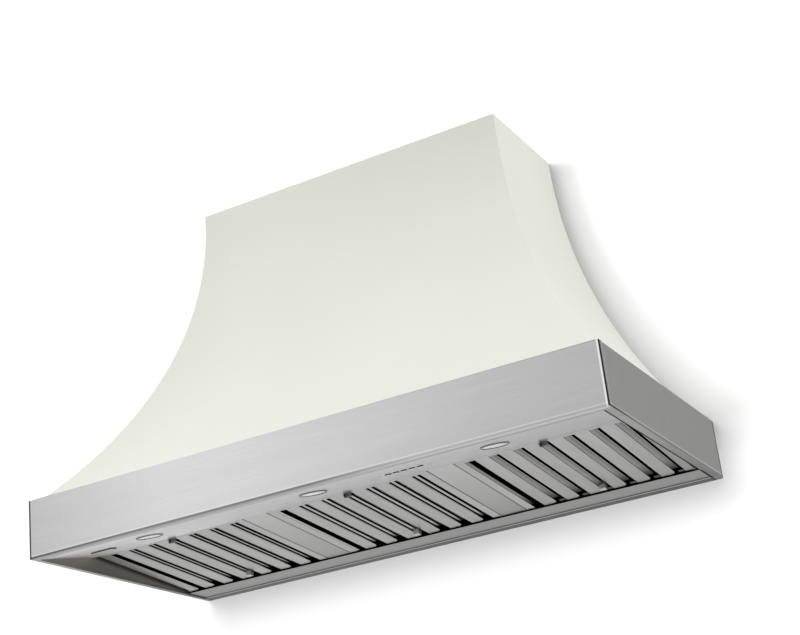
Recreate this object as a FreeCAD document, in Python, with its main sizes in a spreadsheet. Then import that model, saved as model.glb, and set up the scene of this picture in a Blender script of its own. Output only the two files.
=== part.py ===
import FreeCAD
import Part
import Sketcher
import os
import re

# Wall range hood in mm: x to the right seen from the front, wall plane at y = 0, front at -y, z up from the lower rim
doc = FreeCAD.newDocument("range_hood")
sheet = doc.addObject("Spreadsheet::Sheet", "Sizes")

SIZES = {
    # overall shell
    "hood_width": 1524.0,
    "hood_depth": 750.0,
    "skirt_height": 149.0,
    "hood_height": 974.0,
    "canopy_inset": 20.0,
    "top_width": 896.0,
    "top_depth": 354.0,
    "canopy_sheet": 1.2,
    "skirt_sheet": 1.5,
    "rim_width": 20.0,
    "rear_rim_width": 36.0,
    "skirt_top_return": 45.0,
    "bend_radius": 3.0,
    "rear_corner_radius": 9.0,
    "seat_gap": 0.3,
    # wall fixing
    "wall_hole_radius": 4.5,
    "wall_hole_spread": 406.4,
    "wall_hole_rise": 360.0,
    "wall_pattern_drop": 334.0,
    # light and control panel
    "panel_length": 213.0,
    "panel_slope": 10.6,
    "panel_sheet": 1.5,
    "panel_flange": 26.0,
    "lamp_left_margin": 261.0,
    "lamp_right_margin": 290.0,
    "lamp_setback": 90.0,
    "lamp_sleeve_radius": 29.7,
    "lamp_sleeve_wall": 2.5,
    "lamp_sleeve_depth": 12.0,
    "lamp_bezel_radius": 33.5,
    "lamp_bezel_bore": 26.0,
    "lamp_bezel_lip": 2.0,
    "lens_thickness": 3.0,
    "lamp_can_wall": 1.0,
    "lamp_can_height": 44.0,
    "button_count": 5,
    "button_pitch": 20.5,
    "button_length": 15.0,
    "button_width": 9.0,
    "button_proud": 3.2,
    "button_stem": 9.0,
    "button_clearance": 0.35,
    "button_share": 0.4823,
    "button_setback": 104.0,
    "switch_block_height": 24.0,
    "switch_block_width": 34.0,
    "button_row_end": 66.0,
    "panel_screw_radius": 4.5,
    "panel_screw_head": 1.6,
    "panel_screw_shank": 2.0,
    "badge_margin": 67.0,
    "badge_setback": 110.0,
    "badge_length": 63.0,
    "badge_width": 32.0,
    "badge_thickness": 2.5,
    # grease filters
    "filler_width": 66.0,
    "filter_edge_gap": 10.5,
    "filter_height": 26.0,
    "filter_front_gap": 2.0,
    "filter_side_gap": 3.5,
    "frame_wall": 1.2,
    "frame_end_width": 10.0,
    "frame_side_width": 21.0,
    "slot_width": 25.0,
    "slat_height": 15.0,
    "slat_sheet": 1.0,
    "upper_overlap": 10.0,
    "upper_drop": 12.0,
    "pivot_inset": 4.0,
    "pivot_radius": 2.0,
    "pivot_clearance": 0.08,
    "pivot_height": 10.0,
    "pivot_standoff": 8.0,
    "ear_sheet": 2.0,
    "handle_width": 15.0,
    "handle_length": 20.0,
    "handle_drop": 12.0,
    "handle_setback": 18.0,
    "handle_sheet": 1.5,
    "latch_width": 15.0,
    "latch_sheet": 4.0,
    "latch_reach": 11.0,
    "latch_tail": 44.0,
    "latch_tab": 9.0,
    "latch_clearance": 0.4,
    # grease trough
    "trough_depth": 82.0,
    "trough_lip": 12.0,
    "trough_lift": 2.0,
    # blower and duct
    "duct_radius": 126.0,
    "duct_sheet": 1.2,
    "duct_setback": 180.0,
    "collar_height": 25.0,
    "collar_tail": 20.0,
    "collar_tail_step": 0.8,
    "collar_flange": 19.0,
    "flap_sheet": 0.8,
    "flap_margin": 0.8,
    "flap_level": 9.0,
    "rod_radius": 2.0,
    "rod_offset": 5.0,
    "rod_clearance": 0.06,
    "plenum_depth": 262.0,
    "plenum_height": 207.8,
    "scroll_radius": 120.0,
    "neck_margin": 18.0,
    "scroll_inner_end": 92.0,
    "neck_length": 155.0,
    "scroll_sheet": 1.2,
    "inlet_radius": 72.0,
    "wheel_radius": 96.0,
    "wheel_end_gap": 15.0,
    "wheel_ring": 12.0,
    "wheel_sheet": 1.5,
    "wheel_blades": 24,
    "hub_radius": 16.0,
    "shaft_radius": 6.0,
    "shaft_clearance": 0.05,
    "motor_radius": 56.0,
    "motor_length": 150.0,
    "bracket_width": 90.0,
    "bracket_height": 70.0,
    "bracket_drop": 8.0,
    # supply entry
    "junction_width": 120.0,
    "junction_depth": 80.0,
    "junction_height": 50.0,
    "junction_margin": 83.0,
    "junction_gap": 15.0,
    "bush_bore": 8.0,
    "bush_wall": 2.9,
    "bush_flange": 4.0,
    "bush_lip": 2.0,
    "bush_tail": 6.0,
    "screw_radius": 2.0,
    "screw_head_radius": 4.0,
    "screw_head_height": 2.2,
    "screw_depth": 6.0,
    "collar_screw_count": 6,
}
for row, (name, value) in enumerate(SIZES.items(), start=1):
    sheet.set("A%d" % row, name)
    sheet.set("B%d" % row, str(value))
    sheet.setAlias("B%d" % row, name)
doc.recompute()

# Sizes that follow from the driving ones
FOLLOWS = {
    "wall_pattern_height": "hood_height - wall_pattern_drop",
    "lamp_left": "0 - hood_width/2 + rim_width + lamp_left_margin",
    "lamp_right": "hood_width/2 - rim_width - lamp_right_margin",
    "button_middle": "(hood_width/2 - rim_width - lamp_right_margin)*button_share",
    "badge_left": "0 - hood_width/2 + rim_width + badge_margin",
    "filter_spacing": "filter_width + filler_width + 2*filter_side_gap",
    "upper_width": "slot_width + 2*upper_overlap",
    "slat_pitch": "slat_width + slot_width",
    "slat_width": "(filter_width - 2*frame_side_width - 7*slot_width)/6",
    "filter_width": "(hood_width - 2*rim_width - 2*filter_edge_gap - 2*(filler_width + 2*filter_side_gap))/3",
    "scroll_height": "plenum_bottom - neck_length",
    "wheel_length": "scroll_width - 2*wheel_end_gap",
    "scroll_width": "plenum_width/2 - scroll_inner_end - neck_margin",
    "plenum_width": "top_width - 2*(junction_margin + junction_width/2 + junction_gap)",
    "plenum_bottom": "hood_height - canopy_sheet - plenum_height",
}
ALIAS = re.compile(r"\b(%s)\b" % "|".join(SIZES))


def size(name):
    return float(sheet.get(name))


def full(text):
    for name, rule in FOLLOWS.items():
        text = re.sub(r"\b%s\b" % name, "(%s)" % rule, text)
    return text


def ex(text):
    return ALIAS.sub(r"Sizes.\1", full(str(text)))


HALF = "hood_width/2"
RISE = "(hood_height - skirt_height)"
SIDE_RUN = "(hood_width/2 - canopy_inset - top_width/2)"
SIDE_R = "((%s^2 + %s^2)/(2*%s))" % (RISE, SIDE_RUN, SIDE_RUN)
FRONT_RUN = "(hood_depth - canopy_inset - top_depth)"
FRONT_R = "((%s^2 + %s^2)/(2*%s))" % (RISE, FRONT_RUN, FRONT_RUN)
INNER = "(hood_width/2 - rim_width)"
PANEL_Y = "(0 - hood_depth + rim_width + seat_gap)"
APEX_Y = "(%s + panel_length*cos(panel_slope))" % PANEL_Y
APEX_Z = "(panel_length*sin(panel_slope))"
TROUGH_Y = "(0 - rear_rim_width - seat_gap - trough_depth)"
PIVOT_Y = "(%s - pivot_standoff)" % TROUGH_Y
FILTER_RUN = "(%s - %s - filter_front_gap)" % (PIVOT_Y, APEX_Y)
FILTER_RISE = "(%s - pivot_height + pivot_inset)" % APEX_Z
FILTER_SLOPE = "atan(%s/%s)" % (FILTER_RISE, FILTER_RUN)
FILTER_FRONT = "(0 - sqrt(%s^2 + %s^2))" % (FILTER_RUN, FILTER_RISE)
FILTER_REAR = "pivot_inset"
FILTER_LOW = "(0 - pivot_inset)"
DUCT_Y = "(0 - duct_setback)"


def move(obj, x=0, y=0, z=0, axis=None, angle=None):
    if axis:
        turn = FreeCAD.Rotation(FreeCAD.Vector(*axis), 90 if angle is None else 10)
        obj.Placement = FreeCAD.Placement(FreeCAD.Vector(0, 0, 0), turn)
    for key, text in zip("xyz", (x, y, z)):
        obj.setExpression("Placement.Base." + key, ex(text))
    if angle is not None:
        obj.setExpression("Placement.Rotation.Angle", ex(angle))
    return obj


def box(name, x0, x1, y0, y1, z0, z1):
    obj = doc.addObject("Part::Box", name)
    for prop, low, high in (("Length", x0, x1), ("Width", y0, y1), ("Height", z0, z1)):
        obj.setExpression(prop, ex("(%s) - (%s)" % (high, low)))
    return move(obj, x0, y0, z0)


def rod(name, radius, length, x, y, z, axis="z"):
    obj = doc.addObject("Part::Cylinder", name)
    obj.setExpression("Radius", ex(radius))
    obj.setExpression("Height", ex(length))
    turn = {"x": (0, 1, 0), "y": (-1, 0, 0), "z": None}[axis]
    return move(obj, x, y, z, turn)


def cut(name, base, *tools):
    obj = doc.addObject("Part::Cut", name)
    obj.Base = base
    obj.Tool = tools[0] if len(tools) == 1 else fuse(name + "_tools", *tools)
    return obj


def fuse(name, *pieces):
    obj = doc.addObject("Part::MultiFuse", name)
    obj.Shapes = list(pieces)
    return obj


def common(name, *pieces):
    obj = doc.addObject("Part::MultiCommon", name)
    obj.Shapes = list(pieces)
    return obj


def group(name, *pieces):
    obj = doc.addObject("Part::Compound", name)
    obj.Links = list(pieces)
    return obj


nodes = {}


def keep(name, obj):
    obj.Label = name
    nodes[name] = obj
    return obj


def on_panel(obj):
    return move(obj, 0, PANEL_Y, 0, (1, 0, 0), "panel_slope")


def on_filter(obj, x):
    return move(obj, x, PIVOT_Y, "pivot_height", (-1, 0, 0), FILTER_SLOPE)


def polygon(body, plane, points, name):
    sketch = body.newObject("Sketcher::SketchObject", name)
    sketch.AttachmentSupport = [(body.Origin.OriginFeatures[3 + plane], "")]
    sketch.MapMode = "FlatFace"
    start = []
    for u, v in points:
        sheet.set("D1", "=" + full(u))
        sheet.set("E1", "=" + full(v))
        sheet.recompute()
        start.append(FreeCAD.Vector(float(sheet.get("D1")), float(sheet.get("E1")), 0))
    sheet.clear("D1")
    sheet.clear("E1")
    count = len(points)
    for i in range(count):
        sketch.addGeometry(Part.LineSegment(start[i], start[(i + 1) % count]), False)
    for i in range(count):
        sketch.addConstraint(Sketcher.Constraint("Coincident", i, 2, (i + 1) % count, 1))
    for i, (u, v) in enumerate(points):
        for kind, text, value in (("DistanceX", u, start[i].x), ("DistanceY", v, start[i].y)):
            at = sketch.addConstraint(Sketcher.Constraint(kind, i, 1, value))
            sketch.setExpression("Constraints[%d]" % at, ex(text))
    return sketch


def bent(name, plane, points, length, edges):
    body = doc.addObject("PartDesign::Body", name + "_body")
    sketch = polygon(body, plane, points, name + "_profile")
    pad = body.newObject("PartDesign::Pad", name + "_pad")
    pad.Profile = sketch
    pad.SideType = "Symmetric"
    pad.setExpression("Length", ex(length))
    doc.recompute()
    picked = [
        "Edge%d" % (i + 1)
        for i, edge in enumerate(pad.Shape.Edges)
        if edges(edge.CenterOfMass, edge.BoundBox)
    ]
    if picked:
        soft = body.newObject("PartDesign::Fillet", name + "_bend")
        soft.Base = (pad, picked)
        soft.setExpression("Radius", ex("bend_radius"))
        body.Tip = soft
    return body


# Painted canopy: cylindrical sheets that meet at creases
def front_arc(name, more):
    return rod(name, "%s + %s" % (FRONT_R, more), "hood_width + 20", "0 - hood_width/2 - 10",
               "0 - top_depth - %s" % FRONT_R, "hood_height", "x")


def side_arc(name, sign, more):
    x = "%s1*(top_width/2 + %s)" % (sign, SIDE_R)
    return rod(name, "%s + %s" % (SIDE_R, more), "hood_depth + 20", x, "0 - hood_depth - 10", "hood_height", "y")


sheet_box = box("front_sheet_room", "0 - " + HALF, HALF, "0 - hood_depth", "0 - top_depth + canopy_sheet",
                "skirt_height", "hood_height")
front_ring = cut("front_ring", front_arc("front_arc_back", "canopy_sheet"), front_arc("front_arc_face", "0"))
front_strip = common("front_strip", front_ring, sheet_box)
keep("canopy_front_panel", cut("canopy_front", front_strip, side_arc("front_trim_left", "-", "0"),
                               side_arc("front_trim_right", "", "0")))
for side, sign in (("left", "-"), ("right", "")):
    ring = cut("ring_" + side, side_arc("arc_back_" + side, sign, "canopy_sheet"),
               side_arc("arc_face_" + side, sign, "0"))
    near, far = "%s1*(top_width/2 - canopy_sheet)" % sign, "%s1*%s" % (sign, HALF)
    low, high = (far, near) if sign else (near, far)
    room = box("room_" + side, low, high, "0 - hood_depth", "0", "skirt_height", "hood_height")
    strip = common("strip_" + side, ring, room)
    keep("canopy_%s_panel" % side,
         cut("canopy_" + side, strip, front_arc("side_trim_" + side, "canopy_sheet + seat_gap")))

plate = box("back_blank", "0 - " + HALF, HALF, "0 - canopy_sheet", "0", "skirt_height",
            "hood_height - canopy_sheet - seat_gap")
holes = [
    rod("wall_hole_%d%d" % (i, j), "wall_hole_radius", "4*canopy_sheet", "%d*wall_hole_spread/2" % i,
        "0 - 2*canopy_sheet", "wall_pattern_height + %d*wall_hole_rise/2" % j, "y")
    for i in (-1, 1)
    for j in (-1, 1)
]
keep("canopy_back_plate", cut("canopy_back", plate, side_arc("back_trim_left", "-", "canopy_sheet + seat_gap"),
                              side_arc("back_trim_right", "", "canopy_sheet + seat_gap"), *holes))
TOP_HALF = "(top_width/2 - canopy_sheet - seat_gap)"
top = box("top_blank", "0 - " + TOP_HALF, TOP_HALF, "0 - top_depth + canopy_sheet + seat_gap", "0",
          "hood_height - canopy_sheet", "hood_height")
top_hole = rod("top_duct_hole", "duct_radius + seat_gap", "4*canopy_sheet", "0", DUCT_Y,
               "hood_height - 2*canopy_sheet")
BUSH_X = "(0 - top_width/2 + junction_margin)"
bush_hole = rod("top_bush_hole", "bush_bore + bush_wall + seat_gap", "4*canopy_sheet", BUSH_X, DUCT_Y,
                "hood_height - 2*canopy_sheet")
top_screw_holes = [
    move(rod("top_screw_hole_%d" % i, "screw_radius + seat_gap", "4*canopy_sheet", "0", "0", "0"),
         "(duct_radius + collar_flange/2)*cos(360*%d/collar_screw_count)" % i,
         "%s + (duct_radius + collar_flange/2)*sin(360*%d/collar_screw_count)" % (DUCT_Y, i),
         "hood_height - 2*canopy_sheet")
    for i in range(int(size("collar_screw_count")))
]
keep("canopy_top_plate", cut("canopy_top", top, top_hole, bush_hole, *top_screw_holes))

# Brushed skirt: front wraps the two corners, sides and rear are bent strips
front_room = doc.addObject("PartDesign::Body", "skirt_front_body")
front_outline = polygon(front_room, 0, [
    ("0 - " + HALF, "0 - hood_depth"), (HALF, "0 - hood_depth"),
    (HALF, "0 - hood_depth + skirt_top_return"), ("0 - " + HALF, "0 - hood_depth + skirt_top_return"),
], "skirt_front_outline")
front_pad = front_room.newObject("PartDesign::Pad", "skirt_front_pad")
front_pad.Profile = front_outline
front_pad.setExpression("Length", ex("skirt_height"))
doc.recompute()
face_y = -size("hood_depth")
picked = [
    "Edge%d" % (i + 1)
    for i, edge in enumerate(front_pad.Shape.Edges)
    if abs(edge.CenterOfMass.y - face_y) < 0.01
    or (abs(edge.CenterOfMass.z) < 0.01 and abs(abs(edge.CenterOfMass.x) - size("hood_width") / 2) < 0.01)
]
front_soft = front_room.newObject("PartDesign::Fillet", "skirt_front_bend")
front_soft.Base = (front_pad, picked)
front_soft.setExpression("Radius", ex("bend_radius"))
front_room.Tip = front_soft
T = "skirt_sheet"
front_hollow = box("skirt_front_hollow", "0 - %s + %s" % (HALF, T), "%s - %s" % (HALF, T),
                   "0 - hood_depth + " + T, "0", T, "skirt_height - " + T)
front_mouth = box("skirt_front_mouth", "0 - " + INNER, INNER, "0 - hood_depth + rim_width", "0", "0 - 1", "2*" + T)
front_left = box("skirt_front_left", "0 - %s - 1" % HALF, "0 - " + INNER, "0 - hood_depth + rim_width", "0",
                 "0 - 1", "skirt_height + 1")
front_right = box("skirt_front_right", INNER, HALF + " + 1", "0 - hood_depth + rim_width", "0", "0 - 1",
                  "skirt_height + 1")
keep("skirt_front", cut("skirt_front_cut", front_room, front_hollow, front_mouth, front_left, front_right))

for side, sign in (("left", -1), ("right", 1)):
    outer = "%d*%s" % (sign, HALF)

    def inward(text, sign=sign):
        return "%d*(%s - (%s))" % (sign, HALF, text)

    profile = [(outer, "0"), (inward("rim_width"), "0"), (inward("rim_width"), T), (inward(T), T),
               (inward(T), "skirt_height - " + T), (inward("skirt_top_return"), "skirt_height - " + T),
               (inward("skirt_top_return"), "skirt_height"), (outer, "skirt_height")]
    edge_x = sign * size("hood_width") / 2
    body = bent("skirt_" + side, 1, profile, "hood_depth - rim_width - seat_gap",
                lambda centre, bound, edge_x=edge_x: abs(centre.x - edge_x) < 0.01 and bound.YLength > 50)
    move(body, "0", "0 - (hood_depth - rim_width - seat_gap)/2", "0")
    spare = box("skirt_%s_top_spare" % side, inward("skirt_top_return + 1") if sign > 0 else inward("rim_width"),
                inward("rim_width") if sign > 0 else inward("skirt_top_return + 1"), "0 - hood_depth",
                "0 - hood_depth + skirt_top_return + seat_gap", "skirt_height - 2*" + T, "skirt_height + 1")
    corner = box("skirt_%s_corner" % side, outer + " - skirt_top_return - 1", outer + " + skirt_top_return + 1",
                 "0 - rear_corner_radius", "1", "skirt_height - rear_corner_radius", "skirt_height + 1")
    round_off = rod("skirt_%s_round" % side, "rear_corner_radius", "4*skirt_top_return",
                    outer + " - 2*skirt_top_return", "0 - rear_corner_radius",
                    "skirt_height - rear_corner_radius", "x")
    keep("skirt_" + side, cut("skirt_%s_cut" % side, body, spare, cut("skirt_%s_nip" % side, corner, round_off)))
    liner_far = "%d*(%s + %s)" % (sign, INNER, T)
    liner_near = "%d*%s" % (sign, INNER)
    keep("liner_" + side, box("liner_%s_sheet" % side, liner_far if sign < 0 else liner_near,
                              liner_near if sign < 0 else liner_far, "0 - hood_depth + rim_width + seat_gap",
                              "0 - skirt_sheet - seat_gap", T + " + seat_gap", "skirt_height - %s - seat_gap" % T))

rear_profile = [("0", "0"), ("0", "skirt_height - seat_gap"), ("0 - " + T, "skirt_height - seat_gap"),
                ("0 - " + T, T), ("0 - rear_rim_width", T), ("0 - rear_rim_width", "0")]
keep("skirt_rear", bent("skirt_rear", 2, rear_profile, "hood_width - 2*(rim_width + seat_gap)",
                        lambda centre, bound: False))

# Light and control panel, modelled flat with its front edge on the x axis
PANEL_HALF = "(%s - seat_gap)" % INNER
slab = box("panel_slab", "0 - " + PANEL_HALF, PANEL_HALF, "0", "panel_length", "0", "panel_sheet")
upstand = box("panel_upstand", "0 - " + PANEL_HALF, PANEL_HALF, "panel_length - panel_sheet", "panel_length", "0",
              "panel_flange")
lamp_x = ["lamp_left", "(lamp_left + lamp_right)/2", "lamp_right"]
lamp_holes = [
    rod("lamp_hole_%d" % i, "lamp_sleeve_radius + seat_gap", "4*panel_sheet", x, "lamp_setback", "0 - panel_sheet")
    for i, x in enumerate(lamp_x)
]
button_x = [
    "button_middle + (%d - (button_count - 1)/2)*button_pitch" % i for i in range(int(size("button_count")))
]


def button_block(name, x, grow, z0, z1):
    return box(name, "%s - button_length/2 - (%s)" % (x, grow), "%s + button_length/2 + (%s)" % (x, grow),
               "button_setback - button_width/2 - (%s)" % grow, "button_setback + button_width/2 + (%s)" % grow,
               z0, z1)


button_holes = [
    button_block("button_hole_%d" % i, x, "button_clearance", "0 - panel_sheet", "2*panel_sheet")
    for i, x in enumerate(button_x)
]
screw_x = ["button_middle - button_row_end", "button_middle + button_row_end"]
panel_screw_holes = [
    rod("panel_screw_hole_%d" % i, "panel_screw_shank + seat_gap", "4*panel_sheet", x, "button_setback",
        "0 - panel_sheet")
    for i, x in enumerate(screw_x)
]
filter_x = ["%d*filter_spacing" % i for i in (-1, 0, 1)]
latch_slots = [
    box("latch_slot_%d" % i, "%s - latch_width/2 - latch_clearance" % x, "%s + latch_width/2 + latch_clearance" % x,
        "panel_length - 3*panel_sheet", "panel_length + panel_sheet", "panel_sheet + 4", "panel_flange - 2")
    for i, x in enumerate(filter_x)
]
keep("control_panel", on_panel(cut("panel_cut", fuse("panel_bent", slab, upstand), *lamp_holes, *button_holes,
                                   *panel_screw_holes, *latch_slots)))
for i, x in enumerate(lamp_x, start=1):
    lip = rod("bezel_lip_%d" % i, "lamp_bezel_radius", "lamp_bezel_lip", x, "lamp_setback", "0 - lamp_bezel_lip")
    sleeve = rod("bezel_sleeve_%d" % i, "lamp_sleeve_radius", "lamp_sleeve_depth", x, "lamp_setback", "0")
    bore = rod("bezel_bore_%d" % i, "lamp_bezel_bore", "2*lamp_bezel_lip", x, "lamp_setback", "0 - 1.5*lamp_bezel_lip")
    seat = rod("bezel_seat_%d" % i, "lamp_sleeve_radius - lamp_sleeve_wall", "lamp_sleeve_depth + 1", x,
               "lamp_setback", "0")
    keep("lamp_%d_bezel" % i, on_panel(cut("bezel_%d" % i, fuse("bezel_blank_%d" % i, lip, sleeve), bore, seat)))
    keep("lamp_%d_lens" % i, on_panel(group("lens_group_%d" % i, rod(
        "lens_%d" % i, "lamp_sleeve_radius - lamp_sleeve_wall - 0.2", "lens_thickness", x, "lamp_setback", "0"))))
cans = []
for i, x in enumerate(lamp_x, start=1):
    shell = rod("can_shell_%d" % i, "lamp_sleeve_radius + seat_gap + lamp_can_wall + 1", "lamp_can_height", x,
                "lamp_setback", "panel_sheet")
    room = rod("can_room_%d" % i, "lamp_sleeve_radius + seat_gap + 1", "lamp_can_height - lamp_can_wall", x,
               "lamp_setback", "panel_sheet")
    cans.append(cut("can_%d" % i, shell, room))
keep("lamp_cans", on_panel(group("lamp_can_group", *cans)))

for i, x in enumerate(button_x):
    cap = button_block("button_cap_%d" % i, x, "0", "0 - button_proud", "button_stem")
    keep("push_button_%d" % (i + 1), on_panel(group("button_group_%d" % i, cap)))
ROW_HALF = "((button_count - 1)/2*button_pitch + button_length/2 + 4)"
block = box("switch_blank", "button_middle - " + ROW_HALF, "button_middle + " + ROW_HALF,
            "button_setback - switch_block_width/2", "button_setback + switch_block_width/2", "panel_sheet",
            "panel_sheet + switch_block_height")
wells = [
    button_block("switch_well_%d" % i, x, "button_clearance", "0", "button_stem + 4") for i, x in enumerate(button_x)
]
keep("switch_block", on_panel(cut("switch_body", block, *wells)))
panel_screws = []
for i, x in enumerate(screw_x):
    head = rod("panel_screw_head_%d" % i, "panel_screw_radius", "panel_screw_head", x, "button_setback",
               "0 - panel_screw_head")
    shank = rod("panel_screw_shank_%d" % i, "panel_screw_shank", "panel_sheet + screw_depth", x, "button_setback", "0")
    panel_screws.append(fuse("panel_screw_%d" % i, head, shank))
keep("panel_screws", on_panel(group("panel_screw_group", *panel_screws)))
keep("badge_plate", on_panel(group("badge_group", box(
    "badge_blank", "badge_left", "badge_left + badge_length", "badge_setback",
    "badge_setback + badge_width", "0 - badge_thickness", "0"))))

# Three baffle filters, each modelled flat round its own pivot line
HALF_FILTER = "filter_width/2"
TOP_OF_FILTER = "(%s + filter_height)" % FILTER_LOW
LATCH_LOW = "(%s + 8)" % FILTER_LOW
ears = []
for k, (word, x) in enumerate(zip(("left", "middle", "right"), filter_x)):
    tag = "_" + word
    blank = box("frame_blank" + tag, "0 - " + HALF_FILTER, HALF_FILTER, FILTER_FRONT, FILTER_REAR, FILTER_LOW,
                TOP_OF_FILTER)
    inside = "(%s - frame_wall)" % HALF_FILTER
    hollow = box("frame_hollow" + tag, "0 - " + inside, inside, FILTER_FRONT + " + frame_wall",
                 FILTER_REAR + " - frame_wall", FILTER_LOW + " + frame_wall", TOP_OF_FILTER + " - frame_wall")
    mouth_half = "(3*slat_pitch + slat_pitch/2 - slat_width/2)"
    mouth = box("frame_mouth" + tag, "0 - " + mouth_half, mouth_half, FILTER_FRONT + " + frame_end_width",
                FILTER_REAR + " - frame_end_width", FILTER_LOW + " - 1", TOP_OF_FILTER + " + 1")
    latch_way = box("frame_latch_way" + tag, "0 - latch_width/2 - latch_clearance",
                    "latch_width/2 + latch_clearance", FILTER_FRONT + " - 1", FILTER_FRONT + " + frame_end_width + 1",
                    LATCH_LOW + " - latch_clearance", LATCH_LOW + " + latch_sheet + latch_clearance")
    pins = [
        rod("frame_pin%s_%d" % (tag, i), "pivot_radius", "filter_side_gap - 0.5",
            "%d*%s - %d*(filter_side_gap - 0.5)" % (i, HALF_FILTER, i < 0), "0", "0", "x")
        for i in (-1, 1)
    ]
    drain = box("frame_drain" + tag, "0 - " + mouth_half, mouth_half, FILTER_REAR + " - frame_end_width - 1",
                FILTER_REAR + " + 1", FILTER_LOW + " - 1", FILTER_LOW + " + slat_height + 1")
    frame = cut("frame_cut" + tag, blank, hollow, mouth, latch_way, drain)
    keep("filter_%s_frame" % word, on_filter(fuse("frame" + tag, frame, *pins), x))

    lower = []
    slat_front = FILTER_FRONT + " + frame_wall + seat_gap"
    slat_rear = FILTER_REAR + " - frame_wall - seat_gap"
    for i in range(6):
        mid = "(%d - 2.5)*slat_pitch" % i
        outside = box("slat_blank%s_%d" % (tag, i), mid + " - slat_width/2", mid + " + slat_width/2",
                      FILTER_FRONT + " + frame_end_width", FILTER_REAR, FILTER_LOW, FILTER_LOW + " + slat_height")
        channel = box("slat_room%s_%d" % (tag, i), mid + " - slat_width/2 + slat_sheet",
                      mid + " + slat_width/2 - slat_sheet", FILTER_FRONT, FILTER_REAR + " + 1", FILTER_LOW + " + slat_sheet",
                      FILTER_LOW + " + slat_height + 1")
        lower.append(cut("slat%s_%d" % (tag, i), outside, channel))
    keep("filter_%s_lower_baffles" % word, on_filter(group("lower" + tag, *lower), x))
    upper = []
    for i in range(7):
        mid = "(%d - 3)*slat_pitch" % i
        high = TOP_OF_FILTER + " - frame_wall - seat_gap"
        outside = box("hood_blank%s_%d" % (tag, i), mid + " - upper_width/2", mid + " + upper_width/2", slat_front,
                      slat_rear, high + " - upper_drop", high)
        channel = box("hood_room%s_%d" % (tag, i), mid + " - upper_width/2 + slat_sheet",
                      mid + " + upper_width/2 - slat_sheet", FILTER_FRONT, FILTER_REAR, FILTER_LOW,
                      high + " - slat_sheet")
        upper.append(cut("hood%s_%d" % (tag, i), outside, channel))
    keep("filter_%s_upper_baffles" % word, on_filter(group("upper" + tag, *upper), x))

    grip_rear = FILTER_REAR + " - handle_setback"
    grip_top = TOP_OF_FILTER + " - frame_wall - seat_gap - slat_sheet"
    grip = box("grip_blank" + tag, "0 - handle_width/2", "handle_width/2", grip_rear + " - handle_length", grip_rear,
               FILTER_LOW + " - handle_drop", grip_top)
    grip_room = box("grip_room" + tag, "0 - handle_width", "handle_width",
                    grip_rear + " - handle_length + handle_sheet", grip_rear + " - handle_sheet",
                    FILTER_LOW + " - handle_drop + handle_sheet", grip_top + " + 1")
    keep("filter_%s_handle" % word, on_filter(cut("grip" + tag, grip, grip_room), x))

    bar = box("latch_bar" + tag, "0 - latch_width/2", "latch_width/2", FILTER_FRONT + " - latch_reach",
              FILTER_FRONT + " + latch_tail", LATCH_LOW, LATCH_LOW + " + latch_sheet")
    tab = box("latch_tab" + tag, "0 - latch_width/2", "latch_width/2", FILTER_FRONT + " + latch_tail - 22",
              FILTER_FRONT + " + latch_tail - 10", LATCH_LOW + " - latch_tab", LATCH_LOW)
    keep("filter_%s_latch" % word, on_filter(fuse("latch" + tag, bar, tab), x))

    for i in (-1, 1):
        near = "%s + %d*(%s + 0.5)" % (x, i, HALF_FILTER)
        far = "%s + %d*(%s + 0.5 + ear_sheet)" % (x, i, HALF_FILTER)
        low, high = (near, far) if i > 0 else (far, near)
        leaf = box("ear_leaf%s_%d" % (tag, i), low, high, PIVOT_Y + " - 6", TROUGH_Y, "pivot_height - 5",
                   "pivot_height + 6")
        eye = rod("ear_eye%s_%d" % (tag, i), "pivot_radius + pivot_clearance", "3*ear_sheet",
                  low + " - ear_sheet", PIVOT_Y, "pivot_height", "x")
        ears.append(cut("ear%s_%d" % (tag, i), leaf, eye))
keep("filter_hinge_ears", group("ear_group", *ears))

for word, sign in (("left", -1), ("right", 1)):
    half = "((filter_spacing - filter_width)/2 - filter_side_gap)"
    filler = box("filler_blank_" + word, "0 - " + half, half, FILTER_FRONT + " - filter_front_gap + seat_gap",
                 "pivot_standoff - seat_gap", FILTER_LOW, FILTER_LOW + " + filter_height/2")
    room = box("filler_room_" + word, "0 - %s + frame_wall" % half, half + " - frame_wall", FILTER_FRONT + " - 10",
               "pivot_standoff + 10", FILTER_LOW + " + frame_wall", FILTER_LOW + " + filter_height")
    keep("filler_panel_" + word, on_filter(cut("filler_" + word, filler, room), "%d*filter_spacing/2" % sign))

# Grease trough behind the filters
trough_front, trough_back = TROUGH_Y, "(0 - rear_rim_width - seat_gap)"
trough_profile = [
    (trough_front, "trough_lift"), (trough_back, "trough_lift"), (trough_back, "trough_lift + 2*trough_lip"),
    (trough_back + " - panel_sheet", "trough_lift + 2*trough_lip"),
    (trough_back + " - panel_sheet", "trough_lift + panel_sheet"),
    (trough_front + " + panel_sheet", "trough_lift + panel_sheet"),
    (trough_front + " + panel_sheet", "trough_lift + trough_lip"), (trough_front, "trough_lift + trough_lip"),
]
keep("grease_trough", bent("grease_trough", 2, trough_profile, "2*" + PANEL_HALF, lambda centre, bound: False))

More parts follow.
